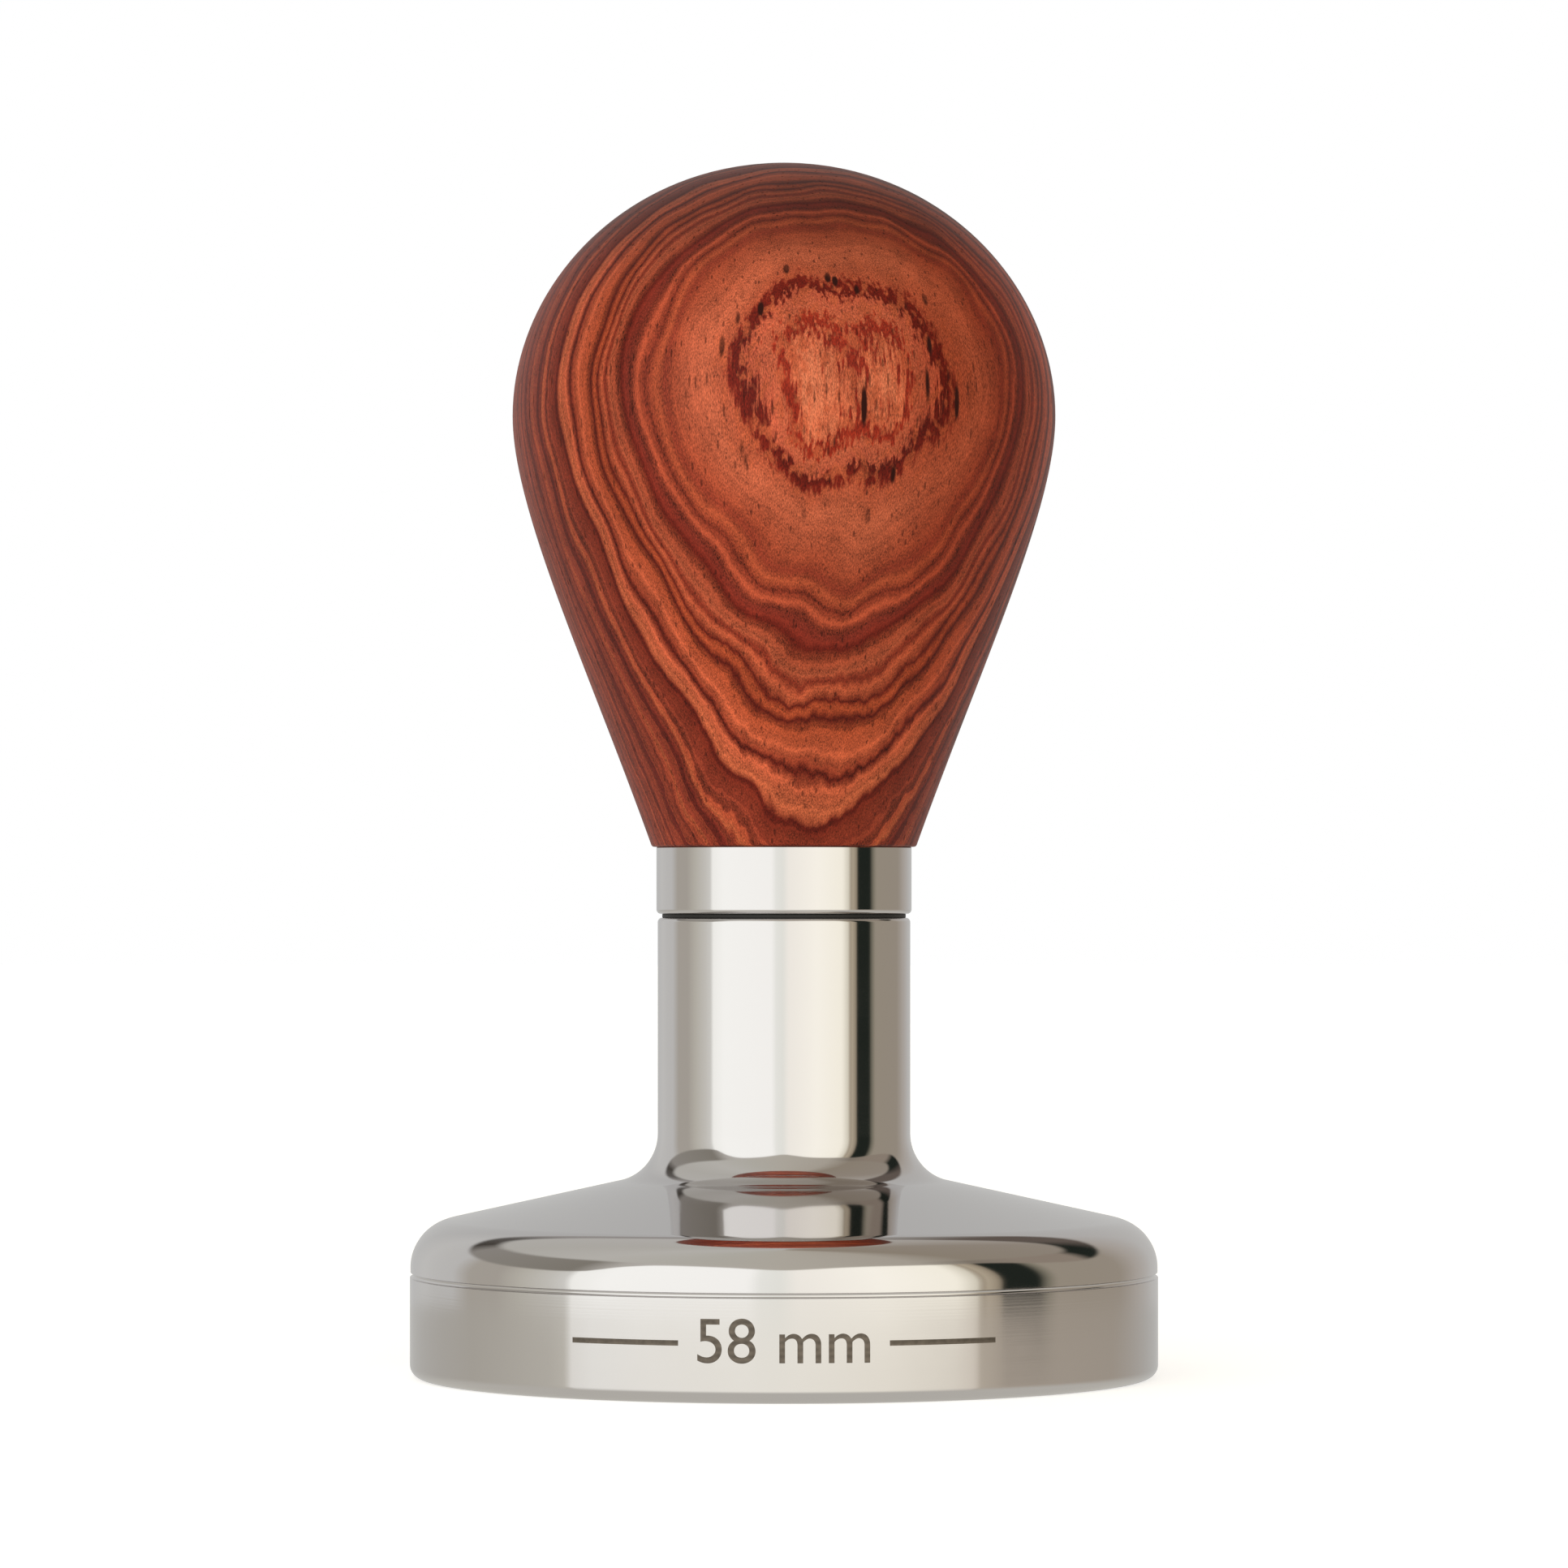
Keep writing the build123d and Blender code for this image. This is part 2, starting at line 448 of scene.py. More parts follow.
def hand_over(piece, finish, body, node):
    """Gives a finished piece its material, puts it under the empty of its CAD body and hides the CAD node
    that it stands for.
    """
    piece.data.materials.clear()
    piece.data.materials.append(finish(bpy.context.scene.tamper_finishes))
    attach(piece, body)
    if node:
        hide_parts(node)


# ---------------------------------------------------------------- materials


def polished_steel(looks):
    """18/10 stainless steel, turned and buffed to a mirror.

    The eye sees the studio in it, a little warm and a little soft, with the last of the turning marks
    running round the piece and a faint haze from the buffing wheel.
    """
    material, tree, place = empty_material("polished stainless steel")
    axes = add(tree, "SeparateXYZ", {0: place})
    level = add(tree, "CombineXYZ", {"X": axes.outputs["X"], "Y": axes.outputs["Y"]})
    radius = add(tree, "VectorMath", {0: level}, operation="LENGTH").outputs["Value"]
    along = add(tree, "CombineXYZ", {"X": radius, "Y": axes.outputs["Z"]})
    # real turning marks are too fine to show, so they are drawn 0.12 mm apart
    marks = add(tree, "TexNoise", {"Vector": along, "Scale": 1 / (0.12 * MM), "Detail": 3.0})
    # buffing haze in patches of about 9 mm
    haze = add(tree, "TexNoise", {"Vector": place, "Scale": 1 / (9 * MM), "Detail": 4.0})
    blend = add(tree, "Math", {0: marks, 1: 0.3, 2: haze}, operation="MULTIPLY_ADD")
    rough = add(
        tree,
        "MapRange",
        {"Value": blend, "From Min": 0.4, "From Max": 0.95, "To Min": 0.035, "To Max": 0.085},
    )
    bump = add(tree, "Bump", {"Height": marks, "Strength": 0.02, "Distance": 0.01 * MM})
    surface = {"Base Color": (*looks.steel, 1), "Metallic": 1.0, "Roughness": rough, "Normal": bump}
    return finish_material(material, surface)


def rolled_steel(looks):
    """Stainless set screw with a rolled thread: bright on the flanks, duller and streaked along them."""
    material, tree, place = empty_material("rolled stainless steel")
    # rolling leaves streaks round the screw, 0.15 mm wide and 1 mm long
    stretched = add(tree, "Mapping", {"Vector": place, "Scale": (0.15, 0.15, 1.0)})
    streaks = add(tree, "TexNoise", {"Vector": stretched, "Scale": 1 / (0.15 * MM), "Detail": 3.0})
    rough = add(tree, "MapRange", {"Value": streaks, "To Min": 0.16, "To Max": 0.4})
    bump = add(tree, "Bump", {"Height": streaks, "Strength": 0.2, "Distance": 0.01 * MM})
    surface = {"Base Color": (*looks.thread_steel, 1), "Metallic": 1.0, "Roughness": rough, "Normal": bump}
    return finish_material(material, surface)


def machined_brass(looks):
    """Free-cutting brass, straight off the lathe: bright yellow, with fine tool rings and some tarnish."""
    material, tree, place = empty_material("machined brass")
    # tool rings up the piece, drawn coarse enough to show, 0.63 mm apart
    scale = FULL_TURN / (WAVE * 0.6283 * MM)
    rings = add(
        tree,
        "TexWave",
        {"Vector": place, "Scale": scale, "Distortion": 0.6, "Detail": 2.0},
        bands_direction="Z",
    )
    tarnish = add(tree, "TexNoise", {"Vector": place, "Scale": 1 / (3 * MM), "Detail": 5.0})
    tone = add(
        tree, "ValToRGB", {"Fac": tarnish}, stops=[(0.3, darker(looks.brass, 0.78)), (0.65, looks.brass)]
    )
    rough = add(tree, "MapRange", {"Value": tarnish, "To Min": 0.36, "To Max": 0.18})
    bump = add(tree, "Bump", {"Height": rings, "Strength": 0.25, "Distance": 0.01 * MM})
    surface = {"Base Color": tone, "Metallic": 1.0, "Roughness": rough, "Normal": bump}
    return finish_material(material, surface)


def black_nylon(looks):
    """Punched nylon sheet: near black, dull, with a fine moulded grain."""
    material, tree, place = empty_material("black nylon sheet")
    # sheet grain of about 0.2 mm
    grain = add(tree, "TexNoise", {"Vector": place, "Scale": 1 / (0.2 * MM), "Detail": 2.0})
    tone = add(
        tree, "ValToRGB", {"Fac": grain}, stops=[(0.3, darker(looks.nylon, 0.6)), (0.7, looks.nylon)]
    )
    rough = add(tree, "MapRange", {"Value": grain, "To Min": 0.5, "To Max": 0.7})
    bump = add(tree, "Bump", {"Height": grain, "Strength": 0.3, "Distance": 0.02 * MM})
    surface = {"Base Color": tone, "Roughness": rough, "Normal": bump, "IOR": 1.53}
    return finish_material(material, surface)


def laser_mark(looks):
    """Steel annealed by a laser: a thin brown-grey oxide that dims the mirror and dulls it, unevenly."""
    material, tree, place = empty_material("laser annealed steel")
    # the beam's passes, drawn coarse enough to show, and an oxide that varies, both over half a millimetre
    scale = FULL_TURN / (WAVE * 0.5027 * MM)
    passes = add(tree, "TexWave", {"Vector": place, "Scale": scale}, bands_direction="Z")
    patches = add(tree, "TexNoise", {"Vector": place, "Scale": 1 / (0.5 * MM), "Detail": 4.0})
    mixed = add(tree, "Math", {0: passes, 1: 0.25, 2: patches}, operation="MULTIPLY_ADD")
    tone = add(
        tree, "ValToRGB", {"Fac": mixed}, stops=[(0.4, darker(looks.mark, 0.55)), (0.9, looks.mark)]
    )
    rough = add(tree, "MapRange", {"Value": mixed, "To Min": 0.3, "To Max": 0.5})
    return finish_material(material, {"Base Color": tone, "Metallic": 0.8, "Roughness": rough})


def seamless_paper(looks):
    """Pale studio paper: dead matt, and lit through so that it burns out to white round the piece."""
    material, tree, place = empty_material("seamless paper")
    # paper fibre of about 0.6 mm
    fibre = add(tree, "TexNoise", {"Vector": place, "Scale": 1 / (0.6 * MM), "Detail": 2.0})
    bump = add(tree, "Bump", {"Height": fibre, "Strength": 0.1, "Distance": 0.02 * MM})
    surface = {
        "Base Color": (*looks.paper, 1),
        "Roughness": 0.95,
        "Specular IOR Level": 0.1,
        "Emission Color": (1, 1, 1, 1),
        "Emission Strength": 0.55,
        "Normal": bump,
    }
    return finish_material(material, surface)


# depths below the grip's front, in millimetres, and the tone of the growth layer there
LAYERS = [
    (0.0, "#D2734E"),
    (0.36, "#C4603E"),
    (0.5, "#86200F"),
    (0.74, "#962C16"),
    (0.9, "#C05E3E"),
    (1.28, "#B85438"),
    (1.46, "#601409"),
    (1.82, "#741C0E"),
    (2.08, "#B05234"),
    (2.8, "#BC5E3E"),
    (3.6, "#B05436"),
    (4.3, "#A4482C"),
    (4.7, "#8C3622"),
    (5.1, "#AC4E2E"),
    (5.5, "#8A3420"),
    (5.9, "#A4482C"),
    (6.4, "#843020"),
    (6.95, "#641A0E"),
    (7.3, "#9E4429"),
    (7.8, "#B05435"),
    (8.15, "#802C1A"),
    (8.5, "#B85635"),
    (8.85, "#641A0E"),
    (9.1, "#B24E2B"),
    (9.5, "#54120A"),
    (9.9, "#AE4C2B"),
    (10.8, "#B85635"),
    (11.5, "#6C1C10"),
    (11.9, "#B85636"),
    (12.6, "#C4623D"),
    (13.0, "#5C160C"),
    (14.4, "#A4442A"),
]
DEEPEST = 15.0
# tones of the wood that lies deeper, over the value of the noise that lays them out
DEEP_LAYERS = [
    (0.28, "#4A1610"),
    (0.38, "#6E2418"),
    (0.46, "#903C25"),
    (0.54, "#7E3020"),
    (0.62, "#A04429"),
    (0.74, "#AE5533"),
]
# millimetres across the blank, and how much paler or darker its wood is there. A ramp holds no tone above
# one, so these are divided by the palest and multiplied again.
PALEST = 1.25
HALF_BLANK = 20
BLANK = [
    (-20, (0.98, 0.93, 0.96)),
    (-13, (1.02, 0.97, 1.02)),
    (-8, (1.12, 1.08, 1.14)),
    (-3, (1.16, 1.13, 1.18)),
    (2, (1.03, 1.01, 1.04)),
    (7, (0.98, 0.96, 0.97)),
    (12, (0.80, 0.68, 0.64)),
    (18, (0.68, 0.55, 0.54)),
]


def oiled_bubinga(looks):
    """Bubinga, turned, sanded and oiled.

    A red-brown heartwood. The turning cuts through its growth layers, which lie nearly flat to the front,
    so that they show as an eye on the belly and as long V lines down the neck. Pores are short dark
    dashes along the grain. Oil gives it a satin sheen that catches the studio at the edges.
    """
    material, tree, place = empty_material("oiled bubinga")
    wood = add(tree, "Mapping", {"Vector": place, "Scale": [1 / MM] * 3})
    axes = add(tree, "SeparateXYZ", {0: wood})
    height = axes.outputs["Z"]

    def drift(width, long, detail, reach):
        """Noise in cells of that width and length in millimetres, swinging about zero by the reach.

        Times four, because noise seldom leaves the middle half of its range.
        """
        cells = add(tree, "Mapping", {"Vector": wood, "Scale": (1 / width, 1 / width, 1 / long)})
        noise = add(tree, "TexNoise", {"Vector": cells, "Detail": detail})
        centred = add(tree, "Math", {0: noise, 1: 0.5}, operation="SUBTRACT")
        return add(tree, "Math", {0: centred, 1: reach * 4}, operation="MULTIPLY")

    # the layers are square to a line that points to the front, a little aside and a little up, and the
    # first of them lies this many millimetres along it
    aside, upwards, front = radians(12.9), 0.087, 27.55
    facing = Vector((sin(aside), -cos(aside), upwards)).normalized()
    along = add(tree, "VectorMath", {0: wood, 1: facing}, operation="DOT_PRODUCT").outputs["Value"]
    depth = add(tree, "Math", {0: front, 1: along}, operation="SUBTRACT")
    for wander in (drift(17, 34, 0.0, 0.3), drift(0.3, 2.2, 1.0, 0.03)):
        depth = add(tree, "Math", {0: depth, 1: wander}, operation="ADD")
    # the layers ripple more towards the foot
    ripple = add(
        tree, "MapRange", {"Value": height, "From Min": 48, "From Max": 62, "To Min": 0.11, "To Max": 0.022}
    )
    depth = add(tree, "Math", {0: drift(3.2, 16, 0.0, 1.0), 1: ripple, 2: depth}, operation="MULTIPLY_ADD")
    # the fibres weave by hundredths of a millimetre, but by a quarter in the eye, where they leave flames
    weave = add(
        tree, "MapRange", {"Value": depth, "From Min": 1.5, "From Max": 3.0, "To Min": 0.27, "To Max": 0.035}
    )
    depth = add(tree, "Math", {0: drift(1.2, 11, 1.0, 1.0), 1: weave, 2: depth}, operation="MULTIPLY_ADD")

    share = add(tree, "Math", {0: depth, 1: DEEPEST}, operation="DIVIDE")
    front_layers = add(
        tree, "ValToRGB", {"Fac": share}, stops=[(mm / DEEPEST, linear(code)) for mm, code in LAYERS]
    )
    # further in, the layers are dark and light streaks of about 1 mm and finer
    streaks = add(
        tree, "TexNoise", {"W": depth, "Scale": 0.9, "Detail": 4.0, "Roughness": 0.7}, noise_dimensions="1D"
    )
    deep_layers = add(
        tree, "ValToRGB", {"Fac": streaks}, stops=[(spot, linear(code)) for spot, code in DEEP_LAYERS]
    )
    # the dark layers of the eye are broken off here and there
    broken = add(
        tree,
        "MapRange",
        {"Value": drift(3.4, 6.0, 1.0, 1.0), "From Min": 0.12, "From Max": 0.5, "To Max": 0.75},
    )
    shallow = add(
        tree, "MapRange", {"Value": depth, "From Min": 2.0, "From Max": 3.2, "To Min": 1.0, "To Max": 0.0}
    )
    broken = add(tree, "Math", {0: broken, 1: shallow}, operation="MULTIPLY")
    pale_wood = (*linear("#B65634"), 1)
    mended = add(tree, "Mix", {0: broken, 6: front_layers, 7: pale_wood}, data_type="RGBA").outputs[2]
    beyond = add(tree, "MapRange", {"Value": depth, "From Min": 13.6, "From Max": 14.6})
    layers = add(tree, "Mix", {0: beyond, 6: mended, 7: deep_layers}, data_type="RGBA").outputs[2]

    # hairlines between the layers, about 0.4 mm apart and finer, fainter on the broad layers of the eye
    hairs = add(tree, "TexNoise", {"W": depth, "Scale": 2.3, "Detail": 2.0}, noise_dimensions="1D")
    hairs = add(tree, "Math", {0: hairs, 1: 0.5}, operation="SUBTRACT")
    fade = add(
        tree, "MapRange", {"Value": depth, "From Min": 2.5, "From Max": 6.0, "To Min": 0.4, "To Max": 1.4}
    )
    # fine grain: light and dark flecks 0.34 mm wide and 1.2 mm long
    flecks = drift(0.34, 1.2, 3.0, 0.6)
    lift = add(tree, "Math", {0: flecks, 1: 1.2, 2: 1.03}, operation="MULTIPLY_ADD")
    lift = add(tree, "Math", {0: hairs, 1: fade, 2: lift}, operation="MULTIPLY_ADD")
    clouds = drift(9, 16, 2.0, 0.2)
    lift = add(tree, "Math", {0: lift, 1: clouds}, operation="ADD")
    # the colour is made darker towards the crown, down to 0.42 of itself at the top
    crown = add(
        tree,
        "MapRange",
        {"Value": height, "From Min": 81.5, "From Max": 91.5, "To Min": 1.0, "To Max": 0.42},
        interpolation_type="SMOOTHSTEP",
    )
    lift = add(tree, "Math", {0: lift, 1: crown}, operation="MULTIPLY")
    grained = add(tree, "VectorMath", {0: layers, "Scale": lift}, operation="SCALE")
    # across the blank it is palest left of the middle, and a deeper red towards the right
    across = axes.outputs["X"]
    spot = add(tree, "MapRange", {"Value": across, "From Min": -HALF_BLANK, "From Max": HALF_BLANK})
    blank = add(
        tree,
        "ValToRGB",
        {"Fac": spot},
        stops=[(0.5 + mm / (2 * HALF_BLANK), darker(tint, 1 / PALEST)) for mm, tint in BLANK],
    )
    blank.color_ramp.interpolation = "EASE"
    grained = add(tree, "VectorMath", {0: grained, 1: blank}, operation="MULTIPLY")
    grained = add(tree, "VectorMath", {0: grained, "Scale": PALEST}, operation="SCALE")

    # pores: fine ones 0.2 mm wide and 1.4 mm long, and open ones 0.6 mm wide and 4 mm long in the eye,
    # where the layers lie flat. Each is given by the width and length of the cell that it lies in, its
    # half size as a share of that, and how dark it is.
    flat = add(tree, "Math", {0: shallow, 1: 0.95, 2: 0.05}, operation="MULTIPLY_ADD")
    pore_wood = (*linear("#32100A"), 1)
    shown = grained
    holes = []
    for width, long, size, darkness in ((0.55, 3.6, 0.2, 0.6), (1.2, 8.0, 0.25, flat)):
        cells = add(tree, "Mapping", {"Vector": wood, "Scale": (1 / width, 1 / width, 1 / long)})
        seeds = add(tree, "TexVoronoi", {"Vector": cells, "Scale": 1.0})
        hole = add(
            tree,
            "MapRange",
            {"Value": seeds, "From Min": size, "From Max": size * 0.55, "To Max": darkness},
            interpolation_type="SMOOTHSTEP",
        )
        shown = add(tree, "Mix", {0: hole, 6: shown, 7: pore_wood}, data_type="RGBA").outputs[2]
        holes.append(hole)
    open_grain = add(tree, "Math", {0: holes[0], 1: holes[1]}, operation="MAXIMUM")
    relief = add(tree, "Math", {0: flecks, 1: 0.12, 2: open_grain}, operation="MULTIPLY_ADD")
    bump = add(tree, "Bump", {"Height": relief, "Strength": 0.35, "Distance": 0.05 * MM}, invert=True)
    rough = add(tree, "MapRange", {"Value": open_grain, "To Min": 0.44, "To Max": 0.75})
    surface = {
        "Base Color": shown,
        "Roughness": rough,
        "IOR": 1.46,
        "Specular IOR Level": 0.14,
        "Sheen Weight": 0.05,
        "Sheen Roughness": 0.4,
        "Sheen Tint": (*linear("#E8B0A0"), 1),
        "Normal": bump,
    }
    return finish_material(material, surface)


# ---------------------------------------------------------------- studio

# the brightest that the studio can be: its tones are divided by this, as a ramp holds none above one
PANEL_LIGHT = 1.5
# azimuth in degrees from the front, positive to the right, and how bright the walls are there
WALLS = [
    (-180, (0.56, 0.56, 0.55)),
    (-160, (0.60, 0.60, 0.59)),
    (-145, (0.70, 0.70, 0.68)),
    (-122, (0.70, 0.70, 0.68)),
    (-112, (0.54, 0.51, 0.45)),
    (-98, (0.54, 0.51, 0.45)),
    (-88, (0.67, 0.65, 0.57)),
    (-76, (0.80, 0.79, 0.73)),
    (-70, (0.90, 0.90, 0.85)),
    (-67.5, (1.30, 1.32, 1.26)),
    (-56, (1.39, 1.41, 1.36)),
    (-11, (1.37, 1.38, 1.33)),
    (-7, (1.18, 1.20, 1.13)),
    (-1, (1.14, 1.16, 1.08)),
    (4, (1.30, 1.27, 1.17)),
    (30, (1.42, 1.39, 1.25)),
    (54, (1.36, 1.32, 1.14)),
    (61, (0.92, 0.87, 0.71)),
    (62.5, (0.45, 0.38, 0.28)),
    (64.5, (0.62, 0.54, 0.40)),
    (68.5, (0.44, 0.37, 0.27)),
    (70.5, (0.02, 0.025, 0.02)),
    (84, (0.02, 0.025, 0.02)),
    (88, (0.27, 0.25, 0.19)),
    (92, (0.44, 0.39, 0.31)),
    (125, (0.43, 0.38, 0.31)),
    (138, (0.54, 0.50, 0.45)),
    (155, (0.60, 0.59, 0.57)),
    (180, (0.56, 0.56, 0.55)),
]
# the walls' upper edge, in degrees above the horizon
WALL_TOPS = [
    (-180, 41),
    (-160, 39),
    (-142, 33),
    (-126, 24),
    (-104, 20),
    (-80, 20),
    (-66, 22),
    (-58, 36),
    (-48, 43),
    (-35, 44),
    (-20, 43),
    (-8, 39),
    (0, 37),
    (8, 39),
    (20, 43),
    (35, 44),
    (50, 42),
    (62, 40),
    (76, 38),
    (90, 30),
    (108, 22),
    (124, 22),
    (140, 34),
    (155, 38.5),
    (180, 41),
]
# the gap between the walls and the ceiling, dark behind the piece
GAP = [
    (-180, (0.42, 0.40, 0.38)),
    (-160, (0.40, 0.38, 0.36)),
    (-150, (0.14, 0.13, 0.12)),
    (-136, (0.08, 0.07, 0.06)),
    (-126, (0.36, 0.34, 0.31)),
    (-100, (0.34, 0.32, 0.28)),
    (-72, (0.30, 0.28, 0.24)),
    (-60, (0.60, 0.58, 0.53)),
    (-50, (0.66, 0.64, 0.59)),
    (0, (0.62, 0.59, 0.51)),
    (50, (0.56, 0.52, 0.44)),
    (72, (0.30, 0.26, 0.21)),
    (90, (0.37, 0.31, 0.25)),
    (112, (0.37, 0.31, 0.25)),
    (119, (0.02, 0.025, 0.02)),
    (130, (0.02, 0.025, 0.02)),
    (142, (0.16, 0.13, 0.11)),
    (160, (0.16, 0.13, 0.11)),
    (172, (0.40, 0.38, 0.35)),
    (180, (0.42, 0.40, 0.38)),
]
# the gap's upper edge, in degrees above the horizon
GAP_TOPS = [
    (-180, 52),
    (-160, 46),
    (-140, 38),
    (-120, 36),
    (-76, 44),
    (0, 50),
    (60, 50),
    (110, 34),
    (124, 36),
    (142, 50),
    (160, 52),
    (180, 52),
]
# the ceiling, above the gap
CEILING = [
    (-180, (0.64, 0.63, 0.60)),
    (-120, (0.62, 0.61, 0.56)),
    (-80, (0.68, 0.67, 0.62)),
    (-40, (0.63, 0.62, 0.55)),
    (0, (0.62, 0.59, 0.51)),
    (50, (0.56, 0.52, 0.44)),
    (75, (0.38, 0.33, 0.26)),
    (130, (0.40, 0.35, 0.29)),
    (160, (0.54, 0.51, 0.46)),
    (180, (0.64, 0.63, 0.60)),
]
# the table, below the walls
TABLE = [
    (-180, (0.56, 0.56, 0.55)),
    (-110, (0.55, 0.53, 0.47)),
    (-76, (0.64, 0.62, 0.55)),
    (-69.5, (0.70, 0.68, 0.60)),
    (-68, (1.04, 1.03, 0.97)),
    (-60, (1.12, 1.12, 1.06)),
    (-40, (1.16, 1.15, 1.07)),
    (0, (1.18, 1.16, 1.05)),
    (30, (1.14, 1.10, 0.97)),
    (52, (1.00, 0.95, 0.83)),
    (60, (0.90, 0.83, 0.72)),
    (61.5, (0.64, 0.58, 0.48)),
    (72, (0.54, 0.48, 0.40)),
    (120, (0.49, 0.44, 0.37)),
    (150, (0.54, 0.53, 0.50)),
    (180, (0.56, 0.56, 0.55)),
]


class StageSettings(bpy.types.PropertyGroup):
    """Floor, studio and camera."""

    distance: length("Camera distance", "Camera to the axis", 506.7)
    eye_height: length("Eye height", "Camera above the floor", 37.2)
    lens: FloatProperty(name="Lens", description="Focal length", default=149.9, unit="CAMERA")
    rise: number("Rise", "Upward shift of the lens", 0.0717)
    sensor: FloatProperty(name="Sensor", description="Width of the sensor", default=36, unit="CAMERA")
    floor_size: length("Floor size", "Side of the floor", 6000)
    floor_gap: length("Floor gap", "Floor below the tamping face, so that they don't flicker", 0.01)
    wall_foot: angle("Wall foot", "Where the walls end and the table begins", -3.63)
    # painted shadow: the table straight below the piece is painted darker, as if the piece shades it
    table_in_shadow: colour("Near table", "Table right round the piece", "#D2D0C8")


def studio_light(settings):
    """Builds the studio that lights the steel, in bands that run right round it.

    Two broad soft panels stand in front and a black card to their right, with grey and beige walls round
    the rest, a ceiling above and a pale table below. The camera itself sees plain white.
    """
    world = bpy.data.worlds.new("soft studio")
    bpy.context.scene.world = world
    world.use_nodes = True
    tree = world.node_tree
    tree.nodes.clear()
    ray = add(tree, "TexCoord").outputs["Generated"]
    axes = add(tree, "SeparateXYZ", {0: ray})
    towards = add(tree, "Math", {0: axes.outputs["Y"], 1: -1.0}, operation="MULTIPLY")
    azimuth = add(tree, "Math", {0: axes.outputs["X"], 1: towards}, operation="ARCTAN2")
    share = add(tree, "MapRange", {"Value": azimuth, "From Min": -pi, "From Max": pi})
    elevation = add(tree, "Math", {0: axes.outputs["Z"]}, operation="ARCSINE")

    def around(tones):
        """Tones right round the horizon."""
        stops = [(0.5 + spot / 360, darker(tone, 1 / PANEL_LIGHT)) for spot, tone in tones]
        return add(tree, "ValToRGB", {"Fac": share}, stops=stops)

    def edge(tops):
        """The elevation of an edge that runs right round the studio, in radians."""
        curve = around([(spot, [PANEL_LIGHT * radians(top)] * 3) for spot, top in tops])
        curve.color_ramp.interpolation = "B_SPLINE"
        return curve

    def band(below, above, low, high, foot=0.0):
        """Ends one band of the studio and begins the next, from low to high in degrees above its foot."""
        measured = add(tree, "Math", {0: elevation, 1: foot}, operation="SUBTRACT")
        share_above = add(
            tree,
            "MapRange",
            {"Value": measured, "From Min": radians(low), "From Max": radians(high)},
            interpolation_type="SMOOTHSTEP",
        )
        return add(tree, "Mix", {0: share_above, 6: below, 7: above}, data_type="RGBA").outputs[2]

    # steeply below the horizon the table is painted darker: a painted shadow of the piece, seen in the steel
    # near its foot
    table_in_shadow = (*darker(settings.table_in_shadow, 1 / PANEL_LIGHT), 1)
    table = band(table_in_shadow, around(TABLE), -30, -5)
    walls = band(table, around(WALLS), 0, 0.1, settings.wall_foot)
    gap = band(walls, around(GAP), -2.0, 1.5, edge(WALL_TOPS))
    seen = band(gap, around(CEILING), -2.0, 2.0, edge(GAP_TOPS))
    light = add(tree, "Background", {"Color": seen, "Strength": PANEL_LIGHT})
    white = add(tree, "Background", {"Color": (1, 1, 1, 1), "Strength": 1.0})
    path = add(tree, "LightPath").outputs["Is Camera Ray"]
    both = add(tree, "MixShader", {0: path, 1: light, 2: white})
    add(tree, "OutputWorld", {"Surface": both})


# ---------------------------------------------------------------- operators


class Workshop:
    """What every operator of this workshop shares."""

    bl_options = {"REGISTER", "UNDO"}


class TAMPER_OT_stage(Workshop, bpy.types.Operator):
    """Lay the floor, light the studio and set up the camera"""

    bl_idname = "tamper.stage"
    bl_label = "Stage"

    def execute(self, context):
        settings = context.scene.tamper_stage
        deselect()
        floor_height = cad_box[0].z - settings.floor_gap
        bpy.ops.mesh.primitive_plane_add(size=settings.floor_size, location=(0, 0, floor_height))
        floor = context.object
        floor.name = floor.data.name = "floor"
        floor.data.materials.append(seamless_paper(context.scene.tamper_finishes))
        floor.visible_glossy = floor.visible_diffuse = False
        studio_light(settings)
        context.scene.view_settings.view_transform = "Standard"

        lens = bpy.data.cameras.new("camera")
        lens.lens = settings.lens
        lens.sensor_width = settings.sensor
        lens.shift_y = settings.rise
        lens.clip_start, lens.clip_end = 0.01, 100
        camera = bpy.data.objects.new("camera", lens)
        camera.location = (0, -settings.distance, settings.eye_height)
        camera.rotation_euler = (radians(90), 0, 0)
        context.scene.collection.objects.link(camera)
        context.scene.camera = camera
        return {"FINISHED"}


